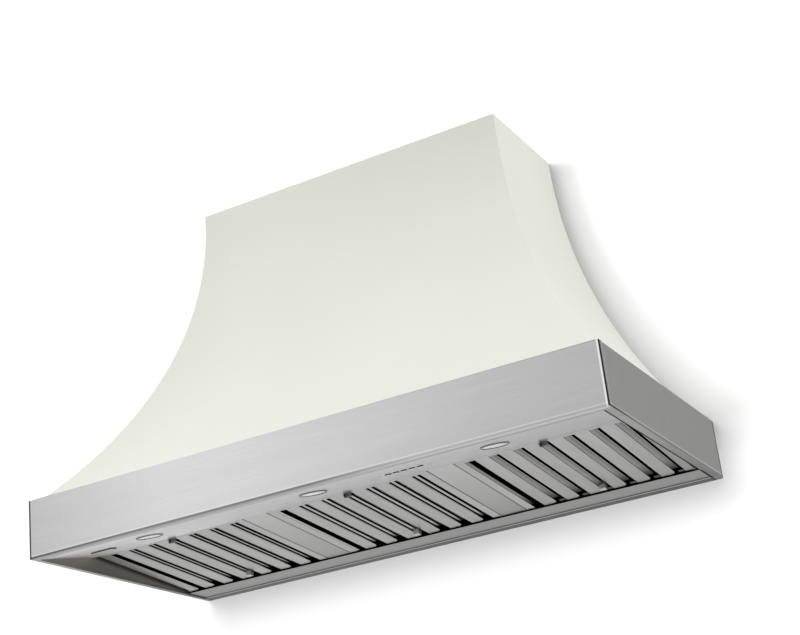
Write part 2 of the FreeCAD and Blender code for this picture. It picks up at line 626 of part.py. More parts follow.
# Twin blower on one motor, exhaust plenum and duct collar
PLENUM_TOP = "(hood_height - canopy_sheet)"
shell = box("plenum_blank", "0 - plenum_width/2", "plenum_width/2", DUCT_Y + " - plenum_depth/2",
            DUCT_Y + " + plenum_depth/2", "plenum_bottom", PLENUM_TOP)
room = box("plenum_room", "0 - plenum_width/2 + duct_sheet", "plenum_width/2 - duct_sheet",
           DUCT_Y + " - plenum_depth/2 + duct_sheet", DUCT_Y + " + plenum_depth/2 - duct_sheet",
           "plenum_bottom + duct_sheet", PLENUM_TOP + " - duct_sheet")
throat = rod("plenum_throat", "duct_radius + seat_gap", "4*duct_sheet", "0", DUCT_Y, PLENUM_TOP + " - 2*duct_sheet")
plenum_screw_holes = [
    rod("plenum_screw_hole_%d" % i, "screw_radius + seat_gap", "screw_depth + 4*duct_sheet",
        "(duct_radius + collar_flange/2)*cos(360*%d/collar_screw_count)" % i,
        "%s + (duct_radius + collar_flange/2)*sin(360*%d/collar_screw_count)" % (DUCT_Y, i),
        PLENUM_TOP + " - screw_depth")
    for i in range(int(size("collar_screw_count")))
]
NECK_FRONT, NECK_BACK = DUCT_Y, DUCT_Y + " + scroll_radius"


def neck_room(name, sign, inset, z0, z1):
    near, far = "scroll_inner_end + (%s)" % inset, "scroll_inner_end + scroll_width - (%s)" % inset
    if sign < 0:
        near, far = "0 - (%s)" % far, "0 - (%s)" % near
    return box(name, near, far, "%s + (%s)" % (NECK_FRONT, inset), "%s - (%s)" % (NECK_BACK, inset), z0, z1)


mouths = [
    neck_room("plenum_mouth_%d" % i, i, "scroll_sheet", "plenum_bottom - 1", "plenum_bottom + 2*duct_sheet")
    for i in (-1, 1)
]
keep("exhaust_plenum", cut("plenum", shell, room, throat, *mouths, *plenum_screw_holes))

for word, sign in (("left", -1), ("right", 1)):
    tag = "_" + word
    start = "scroll_inner_end" if sign > 0 else "0 - scroll_inner_end - scroll_width"
    drum = rod("scroll_drum" + tag, "scroll_radius", "scroll_width", start, DUCT_Y, "scroll_height", "x")
    neck = neck_room("scroll_neck" + tag, sign, "0", "scroll_height", "plenum_bottom")
    drum_room = rod("scroll_room" + tag, "scroll_radius - scroll_sheet", "scroll_width - 2*scroll_sheet",
                    start + " + scroll_sheet", DUCT_Y, "scroll_height", "x")
    neck_hollow = neck_room("scroll_neck_room" + tag, sign, "scroll_sheet", "scroll_height", "plenum_bottom + 1")
    inlet = rod("scroll_inlet" + tag, "inlet_radius", "scroll_width + 20", start + " - 10", DUCT_Y, "scroll_height", "x")
    keep("blower_%s_housing" % word, cut("scroll" + tag, fuse("scroll_blank" + tag, drum, neck), drum_room,
                                         neck_hollow, inlet))
    wheel_start = start + " + (scroll_width - wheel_length)/2"
    disc = rod("wheel_disc" + tag, "wheel_radius", "wheel_sheet", wheel_start + " + wheel_length/2", DUCT_Y,
               "scroll_height", "x")
    hub = rod("wheel_hub" + tag, "hub_radius", "wheel_length/3", wheel_start + " + wheel_length/3", DUCT_Y,
              "scroll_height", "x")
    rims = []
    for i, at in enumerate(("0", "wheel_length - wheel_sheet")):
        ring = rod("wheel_rim%s_%d" % (tag, i), "wheel_radius", "wheel_sheet", wheel_start + " + " + at, DUCT_Y,
                   "scroll_height", "x")
        hole = rod("wheel_eye%s_%d" % (tag, i), "wheel_radius - wheel_ring", "3*wheel_sheet",
                   wheel_start + " + %s - wheel_sheet" % at, DUCT_Y, "scroll_height", "x")
        rims.append(cut("wheel_ring%s_%d" % (tag, i), ring, hole))
    blades = []
    count = int(size("wheel_blades"))
    for i in range(count):
        blade = box("wheel_blade%s_%d" % (tag, i), wheel_start, wheel_start + " + wheel_length", "0", "1", "0", "1")
        blade.setExpression("Width", ex("wheel_ring - 1"))
        blade.setExpression("Height", ex("wheel_sheet"))
        turn = FreeCAD.Rotation(FreeCAD.Vector(1, 0, 0), 360.0 * i / count)
        blade.Placement = FreeCAD.Placement(FreeCAD.Vector(0, 0, 0), turn)
        reach = "(wheel_radius - wheel_ring + 0.5)"
        move(blade, wheel_start, "%s + %s*cos(%s)" % (DUCT_Y, reach, 360.0 * i / count),
             "scroll_height + %s*sin(%s)" % (reach, 360.0 * i / count))
        blades.append(blade)
    bore = rod("wheel_bore" + tag, "shaft_radius", "wheel_length", wheel_start, DUCT_Y, "scroll_height", "x")
    keep("blower_%s_wheel" % word, cut("wheel" + tag, fuse("wheel_blank" + tag, disc, hub, *rims, *blades), bore))

SHAFT_HALF = "(scroll_inner_end + scroll_width*0.75)"
keep("blower_shaft", group("shaft_group", rod("shaft", "shaft_radius", "2*" + SHAFT_HALF, "0 - " + SHAFT_HALF, DUCT_Y,
                                              "scroll_height", "x")))
motor = rod("motor_drum", "motor_radius", "motor_length", "0 - motor_length/2", DUCT_Y, "scroll_height", "x")
motor_bore = rod("motor_bore", "shaft_radius + shaft_clearance", "motor_length + 2", "0 - motor_length/2 - 1", DUCT_Y,
                 "scroll_height", "x")
keep("blower_motor", cut("motor", motor, motor_bore))
saddle = box("saddle_blank", "0 - bracket_width/2", "bracket_width/2", DUCT_Y + " - motor_radius",
             "0 - canopy_sheet - seat_gap", "scroll_height - motor_radius - bracket_drop",
             "scroll_height - motor_radius - bracket_drop + bracket_height")
saddle_room = rod("saddle_room", "motor_radius + seat_gap", "bracket_width + 2", "0 - bracket_width/2 - 1", DUCT_Y,
                  "scroll_height", "x")
keep("motor_bracket", cut("saddle", saddle, saddle_room))

pipe = rod("collar_pipe", "duct_radius", "collar_height", "0", DUCT_Y, "hood_height")
tail = rod("collar_tail_pipe", "duct_radius - collar_tail_step", "collar_tail + 1", "0", DUCT_Y,
           "hood_height - collar_tail")
flange = rod("collar_flange_disc", "duct_radius + collar_flange", "duct_sheet", "0", DUCT_Y, "hood_height")
way = rod("collar_way", "duct_radius - collar_tail_step - duct_sheet", "collar_height + collar_tail + 2", "0", DUCT_Y,
          "hood_height - collar_tail - 1")
rod_eyes = [
    rod("collar_eye_%d" % i, "rod_radius + rod_clearance", "2*duct_radius + 10", "0 - duct_radius - 5",
        "%s + %d*rod_offset" % (DUCT_Y, i), "hood_height + flap_level", "x")
    for i in (-1, 1)
]
collar_screw_holes = [
    rod("collar_screw_hole_%d" % i, "screw_radius + seat_gap", "4*duct_sheet",
        "(duct_radius + collar_flange/2)*cos(360*%d/collar_screw_count)" % i,
        "%s + (duct_radius + collar_flange/2)*sin(360*%d/collar_screw_count)" % (DUCT_Y, i),
        "hood_height - duct_sheet")
    for i in range(int(size("collar_screw_count")))
]
keep("duct_collar", cut("collar", fuse("collar_blank", pipe, flange, tail), way, *rod_eyes, *collar_screw_holes))
FLAP_R = "(duct_radius - collar_tail_step - duct_sheet - flap_margin)"
for word, sign in (("front", -1), ("rear", 1)):
    disc = rod("flap_disc_" + word, FLAP_R, "flap_sheet", "0", DUCT_Y, "hood_height + flap_level - flap_sheet/2")
    edge = "%s + %d*rod_offset" % (DUCT_Y, sign)
    far = "%s + %d*duct_radius" % (DUCT_Y, sign)
    half = box("flap_half_" + word, "0 - duct_radius", "duct_radius", edge if sign > 0 else far,
               far if sign > 0 else edge, "hood_height", "hood_height + 2*flap_level")
    axle = rod("flap_axle_" + word, "rod_radius", "2*duct_radius - 0.4", "0 - duct_radius + 0.2", edge,
               "hood_height + flap_level", "x")
    keep("damper_flap_" + word, fuse("flap_" + word, common("flap_leaf_" + word, disc, half), axle))
collar_screws = []
for i in range(int(size("collar_screw_count"))):
    at = ("(duct_radius + collar_flange/2)*cos(360*%d/collar_screw_count)" % i,
          "%s + (duct_radius + collar_flange/2)*sin(360*%d/collar_screw_count)" % (DUCT_Y, i))
    head = rod("collar_screw_head_%d" % i, "screw_head_radius", "screw_head_height", at[0], at[1],
               "hood_height + duct_sheet")
    shank = rod("collar_screw_shank_%d" % i, "screw_radius", "screw_depth + duct_sheet", at[0], at[1],
                "hood_height - screw_depth")
    collar_screws.append(fuse("collar_screw_%d" % i, head, shank))
keep("collar_screws", group("collar_screw_group", *collar_screws))

# Supply entry in the top plate
JUNCTION = [BUSH_X + " - junction_width/2", BUSH_X + " + junction_width/2", DUCT_Y + " - junction_depth/2",
            DUCT_Y + " + junction_depth/2", PLENUM_TOP + " - junction_height", PLENUM_TOP]
outer = box("junction_blank", *JUNCTION)
inner = box("junction_room", *["%s %s duct_sheet" % (text, "+-"[i % 2]) for i, text in enumerate(JUNCTION)])
entry = rod("junction_entry", "bush_bore + bush_wall + seat_gap", "junction_height/2", BUSH_X, DUCT_Y,
            PLENUM_TOP + " - junction_height/4")
keep("junction_box", cut("junction", outer, inner, entry))
bush_lip = rod("bush_lip_disc", "bush_bore + bush_wall + bush_flange", "bush_lip", BUSH_X, DUCT_Y, "hood_height")
bush_tube = rod("bush_tube", "bush_bore + bush_wall", "canopy_sheet + duct_sheet + bush_tail", BUSH_X, DUCT_Y,
                "hood_height - canopy_sheet - duct_sheet - bush_tail")
bush_way = rod("bush_way", "bush_bore", "canopy_sheet + duct_sheet + bush_tail + bush_lip + 2", BUSH_X, DUCT_Y,
               "hood_height - canopy_sheet - duct_sheet - bush_tail - 1")
keep("cable_bush", cut("bush", fuse("bush_blank", bush_lip, bush_tube), bush_way))

doc.recompute()
for obj in doc.Objects:
    if "Invalid" in obj.State or "Error" in obj.State:
        raise RuntimeError("object failed: " + obj.Label)
os.makedirs("parts", exist_ok=True)
for name, obj in nodes.items():
    if obj.Shape.isNull() or not obj.Shape.isValid():
        raise RuntimeError("bad shape: " + name)
    obj.Shape.exportStep("parts/%s.step" % name)
print("pieces", len(nodes))
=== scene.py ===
import math
import bmesh
import bpy
import numpy as np
from mathutils import Matrix, Vector


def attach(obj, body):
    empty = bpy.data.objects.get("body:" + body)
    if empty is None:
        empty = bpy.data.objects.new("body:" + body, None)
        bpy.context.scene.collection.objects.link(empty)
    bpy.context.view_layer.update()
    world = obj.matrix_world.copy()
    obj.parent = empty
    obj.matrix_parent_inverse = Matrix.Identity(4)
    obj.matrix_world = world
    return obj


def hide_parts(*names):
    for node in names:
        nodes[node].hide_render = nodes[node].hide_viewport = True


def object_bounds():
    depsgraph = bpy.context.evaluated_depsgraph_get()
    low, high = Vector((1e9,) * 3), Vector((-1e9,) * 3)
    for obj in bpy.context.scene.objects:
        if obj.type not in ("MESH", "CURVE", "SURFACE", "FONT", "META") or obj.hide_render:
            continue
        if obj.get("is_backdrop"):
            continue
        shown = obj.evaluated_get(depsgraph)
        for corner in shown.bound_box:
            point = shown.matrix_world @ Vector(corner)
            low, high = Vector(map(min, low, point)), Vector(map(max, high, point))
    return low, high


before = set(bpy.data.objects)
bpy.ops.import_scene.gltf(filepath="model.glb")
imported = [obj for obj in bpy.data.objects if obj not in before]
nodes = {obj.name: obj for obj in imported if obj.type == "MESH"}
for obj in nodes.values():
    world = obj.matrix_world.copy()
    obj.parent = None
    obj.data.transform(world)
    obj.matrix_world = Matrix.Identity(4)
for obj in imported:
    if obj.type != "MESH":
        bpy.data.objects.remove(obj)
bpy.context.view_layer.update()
scene = bpy.context.scene
print("stage: frame loaded", len(nodes), "nodes")

# Filter and panel planes in mm and degrees, as the solids have them
filterPlane = {
    "pivotY": -126.3, "pivotZ": 10.0, "slope": 4.838,  # the line that the filters turn about, and their slope
    "front": -393.44, "rear": 4.0, "low": -4.0,  # measured from that line along the slope and across it
    "spacing": 512.0,  # from one filter's middle to the next
}
panelPlane = {"y": -729.7, "slope": 10.6}
filterMiddles = {"left": -filterPlane["spacing"], "middle": 0.0, "right": filterPlane["spacing"]}


# Node sockets with arithmetic
class Sock:
    def __init__(self, tree, socket=None):
        self.tree, self.socket = tree, socket

    def node(self, kind, inputs=None, out=0, **settings):
        made = self.tree.nodes.new(kind)
        for key, value in settings.items():  # settings first, they can change the sockets
            setattr(made, key, value)
        for key, value in (inputs or {}).items():
            if isinstance(value, Sock):
                self.tree.links.new(value.socket, made.inputs[key])
            else:
                made.inputs[key].default_value = value
        return Sock(self.tree, made.outputs[out])

    def math(self, operation, a, b=0.0):
        return self.node("ShaderNodeMath", {0: a, 1: b}, operation=operation)

    def __add__(self, other): return self.math("ADD", self, other)
    def __radd__(self, other): return self.math("ADD", other, self)
    def __sub__(self, other): return self.math("SUBTRACT", self, other)
    def __rsub__(self, other): return self.math("SUBTRACT", other, self)
    def __mul__(self, other): return self.math("MULTIPLY", self, other)
    def __rmul__(self, other): return self.math("MULTIPLY", other, self)
    def __abs__(self): return self.math("ABSOLUTE", self)
    def __neg__(self): return self.math("MULTIPLY", self, -1.0)


def largest(first, *others):
    for other in others:
        first = first.math("MAXIMUM", first, other)
    return first


def rgb(r, g, b):  # sRGB bytes to linear
    def linear(c):
        return ((c / 255 + 0.055) / 1.055) ** 2.4 if c > 10 else c / 255 / 12.92
    return [linear(r), linear(g), linear(b), 1.0]


def newMaterial(name, settings):
    mat = bpy.data.materials.new(name)
    mat.use_nodes = True
    shader = mat.node_tree.nodes["Principled BSDF"]
    for key, value in settings.items():
        shader.inputs[key].default_value = value
    root = Sock(mat.node_tree)
    place = root.node("ShaderNodeTexCoord", out=3)  # Object coordinates

    def feed(key, sock):
        mat.node_tree.links.new(sock.socket, shader.inputs[key])
    return mat, root, place, feed


def stretched(place, scale, detail=4.0, rough=0.6, offset=(0.0, 0.0, 0.0)):  # noise drawn out along the grain
    spot = place.node("ShaderNodeMapping", {"Vector": place, "Scale": scale, "Location": offset})
    settings = {"Vector": spot, "Scale": 1.0, "Detail": detail, "Roughness": rough}
    return place.node("ShaderNodeTexNoise", settings)


def ranged(value, low, high, a=0.0, b=1.0):  # value between low and high, mapped to a..b and clamped
    settings = {"Value": value, "From Min": low, "From Max": high, "To Min": a, "To Max": b}
    return value.node("ShaderNodeMapRange", settings)


def axes(vector):  # x, y and z of a vector socket
    apart = vector.node("ShaderNodeSeparateXYZ", {0: vector})
    return [Sock(vector.tree, apart.socket.node.outputs[i]) for i in range(3)]


def facing(root):  # x, y and z of the sheet's own normal
    return axes(root.node("ShaderNodeTexCoord", out=1))


def blendColour(part, a, b):
    return part.node("ShaderNodeMix", {0: part, 6: a, 7: b}, out=2, data_type="RGBA")


grainSet = {
    "span": (0.3, 0.7),  # noise values that give the two tones
    "fine": (3.0, 0.7), "wide": (2.0, 0.5),  # detail and roughness of the noise
    "wideScale": 0.12, "wideShift": (3.1, 1.7, 0.4),  # the wide noise against the fine one
    "share": (0.55, 0.45),  # of the fine and the wide noise in the tone
    "rough": 0.06, "bump": 0.03, "depth": 0.0004,  # change of roughness, and the bump's strength and depth in metres
}
flatSpan = (0.6, 0.9)  # of a normal's part, on faces square to that axis
sideSpan = (0.5, 0.8)
alongX, alongY = (4.0, 500.0, 500.0), (500.0, 4.0, 500.0)
closeAlongX, closeAlongY = (4.0, 700.0, 700.0), (700.0, 5.0, 700.0)


def cloudy(fine, wide):  # tone of the fine and the wide noise
    return ranged(fine * grainSet["share"][0] + wide * grainSet["share"][1], *grainSet["span"])


def bumped(grain, strength, depth):
    return grain.node("ShaderNodeBump", {"Height": grain, "Strength": strength, "Distance": depth})


rearShadeSet = {"y": (-0.50, -0.13), "x": (-0.3, 0.7)}  # where a painted shade darkens the steel under the hood towards the rear, in metres


# Steel with a grain; shade: tone where the UV mark says so, mostly a painted shade, top: tone of faces that look up,
# rear: (painted shade tone towards the rear, its share at the left, its share at the right)
def brushed(name, dark, light, grain, rough=0.34, bump=grainSet["bump"], shade=None, top=None, rear=None):
    mat, root, place, feed = newMaterial(name, {"Metallic": 1.0})
    fine = stretched(place, grain, *grainSet["fine"])
    wide = stretched(place, [g * grainSet["wideScale"] for g in grain], *grainSet["wide"], grainSet["wideShift"])
    colour = blendColour(cloudy(fine, wide), dark, light)
    # painted shade towards the rear
    if rear:
        x, y, z = axes(place)
        colour = blendColour(ranged(y, *rearShadeSet["y"]) * ranged(x, *rearShadeSet["x"], *rear[1:]), colour, rear[0])
    if shade:
        mark = root.node("ShaderNodeSeparateXYZ", {0: root.node("ShaderNodeTexCoord", out=2)})
        colour = blendColour(ranged(mark, 0.1, 0.9), colour, shade)
    if top:
        colour = blendColour(ranged(facing(root)[2], *flatSpan), colour, top)
    feed("Base Color", colour)
    feed("Roughness", ranged(fine, *grainSet["span"], rough - grainSet["rough"], rough + grainSet["rough"]))
    feed("Normal", bumped(fine, bump, grainSet["depth"]))
    return mat


panelTone = {
    "dark": rgb(184, 184, 184), "light": rgb(202, 202, 203), "pale": rgb(252, 252, 253), "hem": rgb(166, 166, 166),
    "wide": (0.5, 60.0, 60.0), "rough": (0.32, 0.44),
    "paleX": (-0.15, -0.70), "paleY": (-0.70, -0.54, 0.45, 1.0), "hemY": (-0.7190, -0.7297),  # painted light and shade, in metres
}


def panelSteel():  # grain along x, a painted shade along the front hem, a painted light to the left and there to the rear
    mat, root, place, feed = newMaterial("panelSteel", {"Metallic": 1.0})
    x, y, z = axes(place)
    fine = stretched(place, alongX, *grainSet["fine"])
    wide = stretched(place, panelTone["wide"], *grainSet["wide"], grainSet["wideShift"])
    colour = blendColour(cloudy(fine, wide), panelTone["dark"], panelTone["light"])
    # painted light to the left, stronger towards the rear, and painted shade along the front hem
    paintedLight = ranged(x, *panelTone["paleX"]) * ranged(y, *panelTone["paleY"])
    colour = blendColour(paintedLight, colour, panelTone["pale"])
    colour = blendColour(ranged(y, *panelTone["hemY"]), colour, panelTone["hem"])
    feed("Base Color", colour)
    feed("Roughness", ranged(fine, *grainSet["span"], *panelTone["rough"]))
    feed("Normal", bumped(fine, grainSet["bump"], grainSet["depth"]))
    return mat


paintSet = {
    "cloud": (2.5, 2.5, 2.5), "peel": (420.0, 420.0, 420.0), "cloudSpan": (0.35, 0.65), "peelSpan": (0.3, 0.7),
    "rough": 0.04, "depth": 0.0003, "coatRough": 0.25,
    "front": (0.2, 0.5), "topZ": (0.70, 0.97), "topX": (-0.20, 0.35), "leftX": (-0.35, -0.75), "rearY": (-0.16, 0.0),
    "leftShare": 0.9,
}


# Paint or plastic with a faint peel; the last argument, when given, is a painted shade tone on the canopy's upper
# right and left in front, and at its sides' rear
def painted(name, dark, light, rough, bump=0.01, coat=0.08, shadeTone=None):
    mat, root, place, feed = newMaterial(name, {"Coat Roughness": paintSet["coatRough"], "Coat Weight": coat})
    cloud = stretched(place, paintSet["cloud"], 2.0)
    peel = stretched(place, paintSet["peel"], 1.0)
    colour = blendColour(ranged(cloud, *paintSet["cloudSpan"]), dark, light)
    # painted shade on the canopy's upper right, on its left front and at its sides' rear
    if shadeTone:
        x, y, z = axes(place)
        nx, ny, nz = facing(root)
        upper = ranged(z, *paintSet["topZ"]) * ranged(x, *paintSet["topX"])
        front = ranged(-ny, *paintSet["front"]) * (upper + ranged(x, *paintSet["leftX"]) * paintSet["leftShare"])
        rear = ranged(abs(nx), *sideSpan) * ranged(y, *paintSet["rearY"])
        colour = blendColour(front + rear, colour, shadeTone)
    feed("Base Color", colour)
    feed("Roughness", ranged(peel, *paintSet["peelSpan"], rough - paintSet["rough"], rough + paintSet["rough"]))
    feed("Normal", bumped(peel, bump, paintSet["depth"]))
    return mat


skirtTone = {  # sRGB pairs of the grain, then the single tones of bends and lines, most of them painted shade and light
    "front": (rgb(207, 207, 208), rgb(226, 226, 227)), "frontShade": (rgb(168, 168, 169), rgb(184, 184, 185)),
    "side": (rgb(144, 144, 143), rgb(158, 158, 156)), "sideRear": (rgb(134, 134, 133), rgb(148, 148, 146)),
    "rim": (rgb(158, 158, 156), rgb(174, 174, 172)), "rearRim": (rgb(104, 104, 102), rgb(118, 118, 116)),
    "rimLeft": (rgb(164, 164, 164), rgb(176, 176, 176)), "rimRight": (rgb(210, 210, 211), rgb(224, 224, 225)),
    "stepLeft": (rgb(182, 182, 182), rgb(194, 194, 194)), "stepRight": (rgb(170, 170, 170), rgb(182, 182, 182)),
    "bend": rgb(118, 118, 118), "bendLeft": rgb(74, 74, 75), "sideBend": rgb(104, 104, 103),
    "sideGlint": rgb(182, 182, 181), "seam": rgb(14, 14, 14), "glint": rgb(252, 252, 252),
}
skirtGrain = {"x": (5.0, 620.0, 620.0), "y": (620.0, 5.0, 620.0), "cloud": (1.2, 26.0, 26.0), "rough": (0.32, 0.42)}
skirtSpan = {  # where a tone or line begins and where it is full, in metres
    "leftEnd": (-0.35, -0.75), "rightEnd": (-0.20, 0.50), "rightHalf": (0.05, 0.30), "bendLeft": (-0.45, -0.75),  # x
    "edgeGlint": (0.7564, 0.7574), "leftEdge": (-0.7552, -0.7562),  # x
    "rimGap": (0.7462, 0.7450), "troughGap": (0.7484, 0.7474),  # distance from the middle
    "lowEnd": (0.045, 0.0), "glintLine": (0.0095, 0.0075), "bendLine": (0.0065, 0.0045),  # z in front
    "sideGlint": (0.0118, 0.0098), "sideBend": (0.0072, 0.0056), "sideRim": (0.0028, 0.0016),  # z at the sides
    "seamLow": (0.0035, 0.0045), "hemTop": (0.0078, 0.0068), "hemLow": (0.0024, 0.0034), "topEdge": (0.1464, 0.1474),
    "rimRear": (-0.6, -0.1), "sideRear": (-0.7, 0.0), "step": (-0.7405, -0.7385), "frontRim": (-0.7290, -0.7296),  # y
    "gapFront": (-0.7300, -0.7290), "troughFront": (-0.120, -0.116), "troughRear": (-0.033, -0.037),  # y
    "seamFront": (-0.7494, -0.7486), "seamRear": (-0.7395, -0.7405), "hemFade": (-0.58, -0.745),  # y
    "rearEdge": (-0.0085, -0.0065),  # y
}


# One sheet: grain along x in front and along y at the sides; painted shade and highlight lines at the hems of the low
# edges and at the front corners' seams
def skirtSteel():
    mat, root, place, feed = newMaterial("skirtSteel", {})
    x, y, z = axes(place)
    nx, ny, nz = facing(root)
    sideways, below = ranged(abs(nx), *sideSpan), ranged(-nz, *flatSpan)
    grainX = stretched(place, skirtGrain["x"], *grainSet["fine"])
    grainY = stretched(place, skirtGrain["y"], *grainSet["fine"])
    cloud = stretched(place, skirtGrain["cloud"], *grainSet["wide"], grainSet["wideShift"])
    grain = grainX * (1.0 - sideways) + grainY * sideways
    tone = ranged(grain * 0.8 + cloud * 0.2, *grainSet["span"])

    def pair(name):
        return blendColour(tone, *skirtTone[name])

    def span(value, name):
        return ranged(value, *skirtSpan[name])

    # Front: painted shade towards both ends and below, a painted highlight line over the hem's painted dark bend, a
    # painted highlight at the right corner, matt white
    ends = span(x, "leftEnd") * 0.6 + span(x, "rightEnd") * 0.40 + span(z, "lowEnd") * 0.12
    rightHalf = span(x, "rightHalf")
    front = blendColour(ends, pair("front"), pair("frontShade"))
    front = blendColour(span(z, "glintLine") * 0.35, front, skirtTone["glint"])
    bend = blendColour(span(x, "bendLeft"), skirtTone["bend"], skirtTone["bendLeft"])
    front = blendColour(span(z, "bendLine") * (0.9 - rightHalf * 0.55), front, bend)
    edgeGlint = span(x, "edgeGlint") * (1.0 - sideways) * (1.0 - below)
    front = blendColour(edgeGlint, front, skirtTone["glint"])
    upright = (1.0 - below) * ranged(abs(ny), 0.2, 0.4)

    # Sides with painted highlight and shade lines at their hems and a painted shade to the rear; the rim below, with
    # painted shade to the rear and painted light on the right half of the front rim
    rim = blendColour(span(y, "rimRear"), pair("rim"), pair("rearRim"))
    side = blendColour(span(y, "sideRear"), pair("side"), pair("sideRear"))
    side = blendColour(span(z, "sideGlint") * 0.9, side, skirtTone["sideGlint"])
    side = blendColour(span(z, "sideBend") * 0.9, side, skirtTone["sideBend"])
    side = blendColour(span(z, "sideRim"), side, rim)
    frontRim = blendColour(rightHalf, pair("rimLeft"), pair("rimRight"))
    step = blendColour(rightHalf, pair("stepLeft"), pair("stepRight"))
    frontRim = blendColour(span(y, "step"), frontRim, step)
    colour = blendColour(sideways, blendColour(upright, pair("front"), front), side)
    colour = blendColour(below, colour, blendColour(span(y, "frontRim"), rim, frontRim))

    # Dark lines, painted shade: gaps inside the side rims, corner seam, hem near the front, left corner, rear and top
    # edges
    rimGap = span(abs(x), "rimGap") * below * span(y, "gapFront")
    troughGap = span(abs(x), "troughGap") * below * span(y, "troughFront") * span(y, "troughRear")
    seam = span(y, "seamFront") * span(y, "seamRear") * sideways * span(z, "seamLow")
    hem = span(z, "hemTop") * span(z, "hemLow") * sideways * span(y, "hemFade") * 0.9
    leftEdge = span(x, "leftEdge") * ranged(-ny, 0.3, 0.5) * 0.85
    edges = sideways * 0.6 * largest(span(y, "rearEdge"), span(z, "topEdge"))
    line = largest(rimGap, troughGap, seam, hem, leftEdge, edges)
    feed("Base Color", blendColour(line, colour, skirtTone["seam"]))
    feed("Metallic", 1.0 - largest(line, edgeGlint))
    feed("Roughness", ranged(grain, *grainSet["span"], *skirtGrain["rough"]) + line * 0.6)
    feed("Normal", bumped(grain, grainSet["bump"], grainSet["depth"]))
    return mat


underSet = {
    "rough": (0.34, 0.44), "edge": 0.0006,  # softness of the painted highlight strip
    "rail": (0.700, 0.708), "railShare": 0.75, "railTone": rgb(146, 145, 143),  # x of the last rail on the right, and the tone of its painted shade
    "wall": (0.2184, 0.2190),  # outer walls of a filter frame, from its middle
}


# One tone on the faces that look down, another on the rest, by default near black as a painted shade;
# edge: (y, tone) of a painted highlight strip in front of y, frames: pale front faces and outer walls too,
# and a painted shade from the skirt on the last rail on the right
def undersideSteel(name, dark, light, grain, inside=rgb(18, 18, 18), edge=None, frames=False):
    mat, root, place, feed = newMaterial(name, {"Metallic": 1.0})
    x, y, z = axes(place)
    nx, ny, nz = facing(root)
    fine = stretched(place, grain, *grainSet["fine"])
    colour = blendColour(ranged(fine, *grainSet["span"]), dark, light)
    pale = ranged(-nz, *flatSpan)
    if edge:
        colour = blendColour(ranged(y, edge[0], edge[0] - underSet["edge"]), colour, edge[1])
    if frames:
        colour = blendColour(ranged(x, *underSet["rail"]) * underSet["railShare"], colour, underSet["railTone"])
        fromMiddle = x.math("MINIMUM", abs(x), abs(abs(x) - filterPlane["spacing"] / 1000))
        pale = largest(pale, ranged(-ny, *flatSpan), ranged(fromMiddle, *underSet["wall"]))
    feed("Base Color", blendColour(pale, inside, colour))
    feed("Roughness", ranged(fine, *grainSet["span"], *underSet["rough"]))
    return mat


def even(scale):  # grain without a direction
    return (scale, scale, scale)


